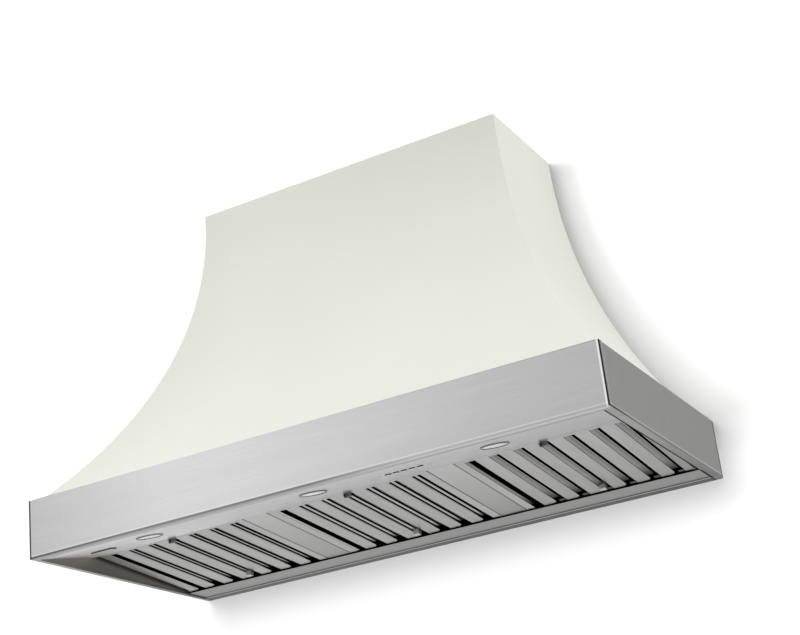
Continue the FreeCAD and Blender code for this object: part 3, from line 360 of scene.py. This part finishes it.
# near black painted shade for the slat flanges and the lips' rear ends inside the slots
slotShade = rgb(16, 16, 16)
mats = {
    "skirt": skirtSteel(),
    "panel": panelSteel(),
    "frame": undersideSteel("filterFrameSteel", rgb(182, 181, 179), rgb(198, 197, 195), alongY, frames=True),
    "trough": undersideSteel("troughSteel", rgb(142, 141, 139), rgb(156, 155, 153), closeAlongX),
    # rear rim: a dark painted shade on the faces that look down, a painted highlight strip at its front
    "rim": undersideSteel("rimSteel", rgb(48, 48, 47), rgb(62, 62, 61), closeAlongX, inside=rgb(168, 168, 167),
                          edge=(-0.0318, rgb(206, 206, 204))),
    "ivory": painted("ivoryPaint", rgb(236, 238, 227), rgb(238, 240, 229), 0.5, shadeTone=rgb(229, 231, 220)),
    "slat": brushed("slatSteel", rgb(176, 175, 173), rgb(204, 203, 201), alongY, 0.38, shade=slotShade,
                    rear=(rgb(146, 145, 143), 0.05, 0.6)),
    "filler": brushed("fillerSteel", rgb(190, 190, 189), rgb(206, 206, 205), alongY, 0.38,
                      rear=(rgb(158, 157, 155), 0.8, 1.0)),
    # a darker steel for the strips in the slots, a painted shade
    "shade": brushed("shadedSteel", rgb(142, 141, 139), rgb(164, 163, 161), alongY, 0.45, shade=slotShade),
    "inner": brushed("innerSteel", rgb(130, 124, 119), rgb(150, 144, 138), closeAlongY, 0.45),
    "zinc": brushed("zincSheet", rgb(150, 154, 156), rgb(186, 190, 192), even(30.0), 0.5),
    "trim": brushed("lampTrim", rgb(176, 176, 177), rgb(198, 198, 199), even(120.0), 0.28, shade=rgb(86, 87, 90)),
    "badge": brushed("badgeSteel", rgb(190, 191, 193), rgb(208, 209, 211), alongX, 0.38, shade=rgb(48, 52, 56)),
    "sideEnd": brushed("skirtEndSteel", rgb(150, 150, 149), rgb(164, 164, 162), (500.0, 500.0, 4.0), 0.4),
    "seamStrip": brushed("seamSteel", rgb(118, 117, 115), rgb(136, 135, 133), alongY, 0.45),
    "foot": brushed("shadedFrame", rgb(86, 85, 83), rgb(104, 103, 101), even(120.0), 0.5),
    "latch": brushed("latchSteel", rgb(52, 53, 55), rgb(68, 69, 71), even(120.0), 0.45, shade=rgb(128, 128, 129)),
    # upper baffles: near black as a painted shade of the filter's inside, faces that look up keep a steel tone
    "upper": brushed("upperBaffleSteel", rgb(14, 14, 14), rgb(22, 22, 22), even(60.0), 0.6, top=rgb(164, 163, 161)),
    "handle": brushed("handleSteel", rgb(194, 194, 192), rgb(210, 210, 208), even(90.0), 0.5),
    "button": brushed("buttonSteel", rgb(226, 226, 227), rgb(242, 242, 243), (60.0, 600.0, 600.0), 0.4, 0.02,
                      shade=rgb(84, 84, 85)),
    "bright": brushed("brightSteel", rgb(214, 214, 214), rgb(232, 232, 232), even(90.0), 0.25),
    "black": painted("blackPlastic", rgb(14, 14, 15), rgb(24, 24, 25), 0.5),
    "motor": painted("motorPaint", rgb(26, 26, 28), rgb(38, 38, 40), 0.4),
    "lens": painted("lensGlass", rgb(244, 246, 246), rgb(252, 253, 253), 0.25, coat=0.4),
}
namedMats = {
    "skirt_rear": "rim", "skirt_front": "skirt", "skirt_left": "skirt", "skirt_right": "skirt",
    "grease_trough": "trough", "control_panel": "panel", "switch_block": "black", "cable_bush": "black",
    "blower_motor": "motor", "panel_screws": "bright", "collar_screws": "bright", "blower_shaft": "bright",
}
endings = {"_upper_baffles": "upper", "_frame": "frame"}
beginnings = {"filler_": "filler", "liner_": "inner"}


def nodeMaterial(name):
    if name in namedMats:
        return namedMats[name]
    if name.startswith("canopy_") and name.endswith("_panel"):
        return "ivory"
    for ending, mat in endings.items():
        if name.endswith(ending):
            return mat
    for beginning, mat in beginnings.items():
        if name.startswith(beginning):
            return mat
    return "zinc"


for name, obj in nodes.items():
    obj.data.materials.clear()
    obj.data.materials.append(mats[nodeMaterial(name)])
print("stage: materials on nodes")


def linked(name, data):  # new object in the scene
    obj = bpy.data.objects.new(name, data)
    scene.collection.objects.link(obj)
    return obj


# Surfaces: a patch is an (n, m, 3) array in metres, first index round the profile, second along the path
def gridFaces(n, m, loopA, loopB):
    a, b = np.meshgrid(np.arange(n if loopA else n - 1), np.arange(m if loopB else m - 1), indexing="ij")
    a2, b2 = (a + 1) % n, (b + 1) % m
    return np.stack([a * m + b, a2 * m + b, a2 * m + b2, a * m + b2], -1).reshape(-1, 4)


def surface(name, patches, mat, body, replaced=(), smooth=35):
    verts, faces, marks, start = [], [], [], 0
    for patch in patches:
        pts = patch["pts"]
        n, m = pts.shape[:2]
        verts.append(pts.reshape(-1, 3))
        marks.append(np.broadcast_to(patch.get("mark", 0.0), (n, m)).reshape(-1))
        faces += (gridFaces(n, m, patch.get("loopA", False), patch.get("loopB", False)) + start).tolist()
        for end in patch.get("caps", ()):  # closes the profile at the path's ends
            faces.append((np.arange(n) * m + (0 if end == 0 else m - 1) + start).tolist())
        start += n * m
    mesh = bpy.data.meshes.new(name)
    mesh.from_pydata(np.concatenate(verts).tolist(), [], faces)
    work = bmesh.new()
    work.from_mesh(mesh)
    bmesh.ops.recalc_face_normals(work, faces=work.faces)
    work.to_mesh(mesh)
    work.free()
    corner = np.zeros(len(mesh.loops), dtype=np.int32)
    mesh.loops.foreach_get("vertex_index", corner)
    uv = np.zeros((len(corner), 2), dtype=np.float32)
    uv[:, 0] = np.concatenate(marks)[corner]  # u carries the shade mark
    mesh.uv_layers.new(name="mark").data.foreach_set("uv", uv.ravel())
    mesh.polygons.foreach_set("use_smooth", np.ones(len(mesh.polygons), dtype=bool))
    obj = linked(name, mesh)
    mesh.set_sharp_from_angle(angle=math.radians(smooth))
    mesh.materials.append(mats[mat])
    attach(obj, body)
    if replaced:
        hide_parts(*replaced)
    return obj


def turn(degrees):  # cosine and sine
    return math.cos(math.radians(degrees)), math.sin(math.radians(degrees))


def straight(x, y, z):  # mm to metres
    return np.stack(np.broadcast_arrays(x, y, z), -1) / 1000


def onFilter(x, y, z, middle):  # local mm to world metres, turned by the filter's slope about its pivot line
    c, s = turn(filterPlane["slope"])
    return straight(x + middle, filterPlane["pivotY"] + y * c + z * s, filterPlane["pivotZ"] - y * s + z * c)


def onPanel(x, y, z):  # local mm to world metres, turned by the panel's slope about its front edge
    c, s = turn(panelPlane["slope"])
    return straight(x, panelPlane["y"] + y * c - z * s, y * s + z * c)


def quarter(steps=7):  # angles of a quarter round
    return np.linspace(0, math.pi / 2, steps)


# Lower slats: a U with bent edges carried along y, its right rear corner rounded and its flanges cut back there
slatSet = {
    "count": 6, "width": 37.0, "pitch": 62.0, "height": 15.0, "sheet": 1.0, "bend": 2.2,
    "front": 10.0, "fine": 30.0, "corner": 11.0,  # start behind the frame's front, close steps and round at the rear
    "cutBack": 26.0, "fall": 0.7, "left": 0.05,  # length and curve of the cut, and what it leaves of the flange
    "shadeFrom": 0.2,  # share of the bend where the painted black shade of the sides begins
}


def slatMiddle(i):
    return (i - (slatSet["count"] - 1) / 2) * slatSet["pitch"]


def slotEdge(i):  # right edge of slat i, where a slot begins
    return slatMiddle(i) + slatSet["width"] / 2


def slatProfile():  # closed loop: down the left flange, across the face, up the right flange and back inside
    w, h, t, r = slatSet["width"] / 2, slatSet["height"], slatSet["sheet"], slatSet["bend"]
    a = quarter()
    across = np.linspace(-w + r, w - r, 7)[1:-1]
    outX = np.concatenate([[-w, -w], -w + r - r * np.cos(a), across, w - r + r * np.sin(a), [w, w]])
    outZ = np.concatenate([[h, h * 0.5], r - r * np.sin(a), 0 * across, r - r * np.cos(a), [h * 0.5, h]])
    inX = np.array([w - t, w - t, -w + t, -w + t])
    inZ = np.array([h, t, t, h])
    x, z = np.concatenate([outX, inX]), np.concatenate([outZ, inZ])
    # the flanges and the inside carry the mark of a painted black shade
    mark = np.where(z > r * slatSet["shadeFrom"], 1.0, 0.0)
    mark[-len(inX):] = 1.0
    return x, z, mark


def slatPatches(middle):
    px, pz, mark = slatProfile()
    front, rear = filterPlane["front"] + slatSet["front"], filterPlane["rear"]
    c, fine, t = slatSet["corner"], rear - slatSet["fine"], slatSet["sheet"]
    y = np.concatenate([np.linspace(front, fine, 8)[:-1], np.linspace(fine, rear - c, 8)[:-1],
                        rear - c + c * np.sin(quarter(12))])
    q = np.clip((y - (rear - c)) / c, 0, 1)
    trim = c * (1 - np.sqrt(np.clip(1 - q * q, 0, 1)))  # quarter round seen from below
    side = np.clip(px / (slatSet["width"] / 2), 0, 1)[:, None]
    low = np.clip((rear - y) / slatSet["cutBack"], 0, 1) ** slatSet["fall"]  # flanges fall away towards the rear
    keep = slatSet["left"] + (1 - slatSet["left"]) * low[None, :]
    x = px[:, None] - side * trim[None, :]
    z = np.where(pz[:, None] > t + 0.01, t + (pz[:, None] - t) * keep, pz[:, None]) + filterPlane["low"]
    return [dict(pts=onFilter(x + slatMiddle(i), y[None, :], z, middle), loopA=True, caps=(0, 1), mark=mark[:, None])
            for i in range(slatSet["count"])]


# Lips seen inside the slots: flat strips, start and end measured from the slat on their left, rise above the faces
lipSet = {
    "front": 10.2, "behindLatch": 28.2, "latchSlot": 2,  # start behind the frame's front, and the slot with the latch
    "rear": 34.0, "railRear": 3.0, "fade": 80.0, "curve": 1.5, "sheet": 0.6,
    "left": [dict(start=8.6, end=12.4, rise=1.2, tone="slat"), dict(start=0.2, end=1.8, rise=0.2, tone="slat"),
             dict(start=24.0, end=24.9, rise=0.3, tone="slat"),
             dict(start=0.2, end=7.6, rise=0.3, tone="slat", rail=True)],
    "middle": [dict(start=7.2, end=14.0, rise=1.2, tone="slat"), dict(start=0.2, end=1.4, rise=0.2, tone="slat"),
               dict(start=24.0, end=24.9, rise=0.3, tone="slat"),
               dict(start=0.2, end=7.6, rise=0.3, tone="slat", rail=True)],
    # the shade-toned strips are a painted shade in the slots
    "right": [dict(start=0.2, end=15.6, rise=0.9, tone="shade", deep=0.5, fade=150.0),
              dict(start=15.7, end=17.2, rise=0.9, tone="slat", fade=150.0),
              dict(start=0.2, end=9.0, rise=0.9, tone="shade", deep=0.4, rail=True, fade=150.0)],
}


def lipPatches(lip, middle):  # strips between the slats, with a painted shade to their right by deep and towards their rear end
    face = np.linspace(0, 1, 6)
    across = np.concatenate([face, [1.0, 0.0]])[:, None]
    x = lip["start"] + (lip["end"] - lip["start"]) * across
    top = np.where(np.arange(len(across)) < len(face), 0.0, lipSet["sheet"])[:, None]
    z = top + lip["rise"] + filterPlane["low"]
    clean = lip.get("rail") and lip["tone"] == "slat"  # runs to the rear without a fade
    dim = filterPlane["rear"] - lip.get("fade", lipSet["fade"])
    stop = filterPlane["rear"] - lipSet["railRear" if clean else "rear"]
    patches = []
    for i in ([-1] if lip.get("rail") else range(slatSet["count"])):
        front = filterPlane["front"] + lipSet["behindLatch" if i == lipSet["latchSlot"] else "front"]
        y = np.concatenate([[front], np.linspace(dim, stop, 9)])
        fade = 0.0 * y if clean else np.clip((y - dim) / (stop - dim), 0, 1) ** lipSet["curve"]
        mark = np.maximum(fade[None, :], lip.get("deep", 0.0) * across ** lipSet["curve"])
        pts = onFilter(x + slotEdge(i), y[None, :], z, middle)
        patches.append(dict(pts=pts, loopA=True, caps=(0, 1), mark=mark))
    return patches


for word, middle in filterMiddles.items():
    surface("filter_%s_slats" % word, slatPatches(middle), "slat", "filter_" + word,
            ["filter_%s_lower_baffles" % word], 30)
    for k, lip in enumerate(lipSet[word]):
        surface("filter_%s_lip_%d" % (word, k + 1), lipPatches(lip, middle), lip["tone"],
                "filter_" + word)
print("stage: slats")


# Round pieces on the panel: a profile of (radius, height) turned about the panel's normal
def turned(profile, x, y, steps=64):
    r, z = np.array(profile).T
    a = np.linspace(0, 2 * math.pi, steps, endpoint=False)
    return onPanel(x + r[:, None] * np.cos(a), y + r[:, None] * np.sin(a), z[:, None])


lampSet = {"x": (-481.0, -14.5, 452.0), "setback": 90.0}
bezelProfile = [(29.6, 1.2), (29.6, -2.2), (29.8, -2.5), (30.3, -2.7), (31.1, -2.8), (32.1, -2.7), (32.8, -2.4),
                (33.3, -2.0), (33.5, -1.5), (33.5, 0.0)]
bezelMark = np.array([1.0, 1.0, 0.9, 0.75, 0.65, 0.65, 0.6, 0.6, 0.6, 0.7])[:, None]  # painted shade, darkest in the throat
lensProfile = [(0.01, -1.9), (8.0, -1.88), (16.0, -1.8), (21.0, -1.7), (25.0, -1.55), (28.0, -1.4), (29.4, -1.2),
               (29.4, 2.4), (0.01, 2.4)]
for k, x in enumerate(lampSet["x"]):
    ring = dict(pts=turned(bezelProfile, x, lampSet["setback"]), loopB=True, mark=bezelMark)
    glass = dict(pts=turned(lensProfile, x, lampSet["setback"]), loopB=True)
    surface("lamp_%d_ring" % (k + 1), [ring], "trim", "hood", ["lamp_%d_bezel" % (k + 1)], 40)
    surface("lamp_%d_glass" % (k + 1), [glass], "lens", "hood", ["lamp_%d_lens" % (k + 1)], 40)
print("stage: lamps")


# Rounded blocks on the panel: superellipse outline lofted through (inset, height) levels
def lofted(half, levels, x, y, power=6.0, steps=48):
    a = np.linspace(0, 2 * math.pi, steps, endpoint=False)
    ux = np.sign(np.cos(a)) * np.abs(np.cos(a)) ** (2 / power)
    uy = np.sign(np.sin(a)) * np.abs(np.sin(a)) ** (2 / power)
    inset, z = np.array(levels).T
    px = np.sign(ux)[None, :] * np.maximum(np.abs(ux)[None, :] * half[0] - inset[:, None], 0)
    py = np.sign(uy)[None, :] * np.maximum(np.abs(uy)[None, :] * half[1] - inset[:, None], 0)
    return onPanel(x + px, y + py, z[:, None])


buttonSet = {"count": 5, "middle": 218.0, "pitch": 20.5, "half": (6.8, 4.5), "setback": 104.0}
buttonLevels = [(4.4, -2.7), (1.2, -2.7), (0.5, -2.5), (0.1, -2.1), (0.0, -1.5), (0.0, 4.0), (4.4, 4.0)]
buttonMark = np.array([0, 0, 0.3, 1, 1, 1, 1.0])[:, None]  # pale face, painted shade on the sides
for k in range(buttonSet["count"]):
    x = buttonSet["middle"] + (k - (buttonSet["count"] - 1) / 2) * buttonSet["pitch"]
    cap = dict(pts=lofted(buttonSet["half"], buttonLevels, x, buttonSet["setback"]), loopB=True, mark=buttonMark)
    surface("push_button_%d_cap" % (k + 1), [cap], "button", "button_%d" % (k + 1),
            ["push_button_%d" % (k + 1)], 40)
print("stage: buttons")

badgeSet = {"x": -645.0, "y": 122.0, "half": (31.5, 12.0), "power": 16.0, "steps": 96}
badgeLevels = [(11.9, -3.2), (0.6, -3.2), (0.2, -3.0), (0.0, -2.6), (0.0, 0.0), (11.9, 0.0)]
badgeMark = np.array([0, 0, 0.6, 1, 1, 1.0])[:, None]  # painted shade on the edge all round a bare face
badgePts = lofted(badgeSet["half"], badgeLevels, badgeSet["x"], badgeSet["y"], badgeSet["power"], badgeSet["steps"])
surface("badge_blank", [dict(pts=badgePts, loopB=True, mark=badgeMark)], "badge", "hood",
        ["badge_plate"], 40)


# Boxes in mm, put into the world by a function of x, y and z
def boxPatch(x0, x1, y0, y1, z0, z1, put):
    x = np.array([x0, x1, x1, x0])[:, None]
    z = np.array([z0, z0, z1, z1])[:, None]
    return dict(pts=put(x, np.array([[y0, y1]]), z), loopA=True, caps=(0, 1))


def filterPut(middle):
    return lambda x, y, z: onFilter(x, y, z, middle)


# Closed rear ends of the side skirts
capSet = {"outer": 761.6, "inner": 742.4, "thick": 0.6, "low": 1.6, "high": 148.4}
for word, sign in (("left", -1), ("right", 1)):
    ends = sorted((sign * capSet["inner"], sign * capSet["outer"]))
    cap = boxPatch(*ends, -capSet["thick"], 0.0, capSet["low"], capSet["high"], straight)
    surface("skirt_%s_end" % word, [cap], "sideEnd", "hood")

# Strips in the seams beside the filler panels, a darker steel that stands for the seams' painted shade
seamSet = {"near": 33.2, "far": 36.2, "rise": 0.8, "thick": 0.6, "inset": 6.0}
seams = []
for middle in (-filterPlane["spacing"] / 2, filterPlane["spacing"] / 2):
    for sign in (-1, 1):
        ends = sorted((sign * seamSet["near"], sign * seamSet["far"]))
        low = filterPlane["low"] + seamSet["rise"]
        seams.append(boxPatch(*ends, filterPlane["front"] + seamSet["inset"], filterPlane["rear"] - seamSet["inset"],
                              low, low + seamSet["thick"], filterPut(middle)))
surface("filler_seam_strips", seams, "seamStrip", "hood")

# Strip that closes the slit behind the panel
panelEnd = {"half": 741.0, "front": -520.22, "rear": -518.85, "low": 39.3, "high": 39.9}
strip = boxPatch(-panelEnd["half"], panelEnd["half"], panelEnd["front"], panelEnd["rear"], panelEnd["low"],
                 panelEnd["high"], straight)
surface("panel_end_strip", [strip], "panel", "hood")

# Frame of the right filter, seen through the slots at their rear ends, in a dark painted shade
footSet = {"start": 9.0, "end": 24.6, "front": 14.0, "rear": 2.5, "rise": 0.4, "thick": 0.6}
feet = []
for i in range(slatSet["count"]):
    low = filterPlane["low"] + footSet["rise"]
    feet.append(boxPatch(slotEdge(i) + footSet["start"], slotEdge(i) + footSet["end"],
                         filterPlane["rear"] - footSet["front"], filterPlane["rear"] - footSet["rear"],
                         low, low + footSet["thick"], filterPut(filterMiddles["right"])))
surface("filter_right_feet", feet, "foot", "filter_right")

# Handles: a strap bent twice, its section carried along a path in y and z
handleSet = {
    "half": 7.5, "sheet": 1.4, "front": -42.0, "rear": -28.0,
    "drop": 11.5, "rise": 12.0, "round": 1.6, "leg": 3.0,
}


def handlePatch(middle):  # path: down the front leg, a quarter round, along, a quarter round, up the rear leg
    f, b, r, low = handleSet["front"], handleSet["rear"], handleSet["round"], filterPlane["low"] - handleSet["drop"]
    a = quarter()
    top, knee = filterPlane["low"] + handleSet["rise"], low + r + handleSet["leg"]
    y = np.concatenate([[f, f], f + r - r * np.cos(a), b - r + r * np.sin(a), [b, b]])
    z = np.concatenate([[top, knee], low + r - r * np.sin(a), low + r - r * np.cos(a), [knee, top]])
    ny, nz = np.gradient(z), -np.gradient(y)  # left of the path
    size = np.hypot(ny, nz)
    inward = np.array([0.0, 0.0, -handleSet["sheet"], -handleSet["sheet"]])[:, None]
    x = np.array([-1.0, 1.0, 1.0, -1.0])[:, None] * handleSet["half"]
    return dict(pts=onFilter(x, y + inward * ny / size, z + inward * nz / size, middle), loopA=True, caps=(0, 1))


for word, middle in filterMiddles.items():
    surface("filter_%s_strap" % word, [handlePatch(middle)], "handle", "filter_" + word,
            ["filter_%s_handle" % word], 40)

# Latches: a bar through the frame's front and a thumb tab under it, paler to the right
latchSet = {  # low and high x, y from the frame's front, z
    "bar": (-7.5, 7.5, -11.0, 17.0, 4.0, 8.0),
    "neck": (-7.5, 7.5, 15.0, 17.0, 0.4, 4.0),
    "tab": (-9.0, 9.5, 10.2, 17.0, -11.5, 0.5),
}
latchMark = np.array([0.0, 1.0, 1.0, 0.0])[:, None]
for word, middle in filterMiddles.items():
    patches = []
    for x0, x1, y0, y1, z0, z1 in latchSet.values():
        box = boxPatch(x0, x1, filterPlane["front"] + y0, filterPlane["front"] + y1, z0, z1, filterPut(middle))
        patches.append(dict(box, mark=latchMark))
    surface("filter_%s_catch" % word, patches, "latch", "latch_" + word, ["filter_%s_latch" % word], 40)

# Small rounds on the sheets' sharp edges: the solids' loose triangles are welded first
roundSet = {"width": 0.0005, "segments": 2, "angle": 50.0, "weld": 0.00002}
for name in ("skirt_front", "skirt_left", "skirt_right", "control_panel", "filler_panel_left", "filler_panel_right"):
    weld = nodes[name].modifiers.new("weld", "WELD")
    weld.merge_threshold = roundSet["weld"]
    bevel = nodes[name].modifiers.new("bevel", "BEVEL")
    bevel.width, bevel.segments = roundSet["width"], roundSet["segments"]
    bevel.limit_method, bevel.angle_limit = "ANGLE", math.radians(roundSet["angle"])
    bevel.harden_normals = False
print("stage: small pieces")


# Stage sheets: seen by the camera from their front side only, so that no view is blocked
def stageSheet(name, corners, low, high, lift):
    mesh = bpy.data.meshes.new(name)
    mesh.from_pydata(corners, [], [(0, 1, 2, 3)])
    obj = linked(name, mesh)
    plain = {"Roughness": 1.0, "Specular IOR Level": 0.0, "Emission Strength": 1.0}
    mat, root, place, feed = newMaterial(name + "Pale", plain)
    feed("Base Color", blendColour(ranged(stretched(place, (0.6, 0.6, 0.6)), 0.3, 0.7), low, high))
    seen = root.node("ShaderNodeLightPath")  # the lift whitens it for the camera alone
    feed("Emission Color", blendColour(seen, (0.0, 0.0, 0.0, 1.0), (lift, lift, lift, 1.0)))
    tree = mat.node_tree
    behind, clear = root.node("ShaderNodeNewGeometry", out=6), root.node("ShaderNodeBsdfTransparent")
    solid = Sock(tree, tree.nodes["Principled BSDF"].outputs[0])
    shown = root.node("ShaderNodeMixShader", {0: behind, 1: solid, 2: clear})
    tree.links.new(shown.socket, tree.nodes["Material Output"].inputs["Surface"])
    mesh.materials.append(mat)
    obj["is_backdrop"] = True
    return obj


floorSet = {"half": 9.0, "level": -1.45, "lift": 0.36, "low": rgb(238, 238, 238), "high": rgb(243, 243, 243)}
h, level = floorSet["half"], floorSet["level"]
stageSheet("floor", [(-h, -h, level), (h, -h, level), (h, h, level), (-h, h, level)],
           floorSet["low"], floorSet["high"], floorSet["lift"])

# The wall takes the hood's shadow; nothing but the camera meets it
wallSet = {
    "half": 3.0, "foot": -1.44, "head": 3.2, "y": 0.002,
    "lift": 0.0, "low": rgb(193, 193, 193), "high": rgb(195, 195, 195),
}
w, y, foot, head = wallSet["half"], wallSet["y"], wallSet["foot"], wallSet["head"]
wall = stageSheet("wall", [(-w, y, foot), (w, y, foot), (w, y, head), (-w, y, head)],
                  wallSet["low"], wallSet["high"], wallSet["lift"])
wall.visible_diffuse = wall.visible_glossy = wall.visible_transmission = wall.visible_shadow = False
wallOnly = bpy.data.collections.new("wallOnly")
wallOnly.objects.link(wall)


def pointed(obj, direction):  # turns a lamp so that it shines along direction
    obj.rotation_euler = Vector(direction).to_track_quat("-Z", "Y").to_euler()


sunSet = {  # two suns light the wall alone, one shaded by the canopy and one by the whole hood
    "canopy": {"power": 2.25, "spread": 12.0, "from": (-0.225, -1.0, 0.05)},
    "hood": {"power": 2.0, "spread": 8.0, "from": (-0.058, -1.0, 0.072)},
}
for word, sun in sunSet.items():
    lamp = bpy.data.lights.new(word + "Sun", "SUN")
    lamp.energy, lamp.angle = sun["power"], math.radians(sun["spread"])
    obj = linked(word + "Sun", lamp)
    pointed(obj, -Vector(sun["from"]))
    blockers = bpy.data.collections.new(word + "Blockers")
    for name, node in nodes.items():
        if word == "hood" or name.startswith("canopy_"):
            blockers.objects.link(node)
    obj.light_linking.receiver_collection = wallOnly
    obj.light_linking.blocker_collection = blockers

# World: white to the camera, a soft studio for light; polished faces see it brighter to the left
worldSet = {
    "level": 0.66, "up": 0.22, "right": 0.25,
    "gloss": 0.50, "glossLeft": 0.76, "glossBack": 0.26,
    "leftFrom": (-0.20, -0.50), "leftTo": (-0.90, -0.60), "backFrom": (0.1, 0.5),
}
world = bpy.data.worlds.new("studio")
scene.world = world
world.use_nodes = True
tree = world.node_tree
back = tree.nodes["Background"]
root = Sock(tree)
seen = root.node("ShaderNodeLightPath", out=0)
mirrored = Sock(tree, seen.socket.node.outputs["Is Glossy Ray"])
x, y, z = axes(root.node("ShaderNodeTexCoord", out=0))
soft = z * worldSet["up"] + x * worldSet["right"] + worldSet["level"]
leftGlow = ranged(x, *worldSet["leftFrom"]) * ranged(x, *worldSet["leftTo"]) * worldSet["glossLeft"]
sheen = leftGlow + ranged(y, *worldSet["backFrom"]) * worldSet["glossBack"] + worldSet["gloss"]
light = mirrored * sheen + (1.0 - mirrored) * soft
back.inputs["Color"].default_value = (1.0, 1.0, 1.0, 1.0)
tree.links.new((seen + (1.0 - seen) * light).socket, back.inputs["Strength"])

areaSet = {  # not mirrored in the steel
    "keyAbove": {"spot": (-0.5, -1.1, 4.2), "aim": (0.0, -0.4, 0.4), "size": 2.0, "power": 46},
    "fillRight": {"spot": (3.4, -0.5, 0.9), "aim": (0.0, -0.4, 0.5), "size": 2.0, "power": 7},
}
for name, area in areaSet.items():
    lamp = bpy.data.lights.new(name, "AREA")
    lamp.shape, lamp.size, lamp.size_y, lamp.energy = "RECTANGLE", area["size"], area["size"], area["power"]
    obj = linked(name, lamp)
    obj.location = area["spot"]
    pointed(obj, Vector(area["aim"]) - Vector(area["spot"]))
    obj.visible_glossy = False
print("stage: lights")

# Camera fitted to the photograph: focal length and picture width in pixels, sensor in mm
cameraSet = {
    "spot": (1.7807, -3.7157, -1.0096), "aim": (0.1277, -0.375, 0.4953), "roll": 6.68,
    "focal": 1598.9, "picture": 800, "sensor": 36.0,
}
camData = bpy.data.cameras.new("camera")
camData.lens = cameraSet["focal"] / cameraSet["picture"] * cameraSet["sensor"]
camData.sensor_width, camData.sensor_fit = cameraSet["sensor"], "HORIZONTAL"
camera = linked("camera", camData)
ahead = (Vector(cameraSet["aim"]) - Vector(cameraSet["spot"])).normalized()
right = ahead.cross(Vector((0, 0, 1))).normalized()
down = ahead.cross(right)
c, s = turn(cameraSet["roll"])
right, down = right * c + down * s, down * c - right * s
camera.matrix_world = Matrix.Translation(cameraSet["spot"]) @ Matrix((right, -down, -ahead)).transposed().to_4x4()
scene.camera = camera
scene.view_settings.view_transform = "Standard"

low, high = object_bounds()
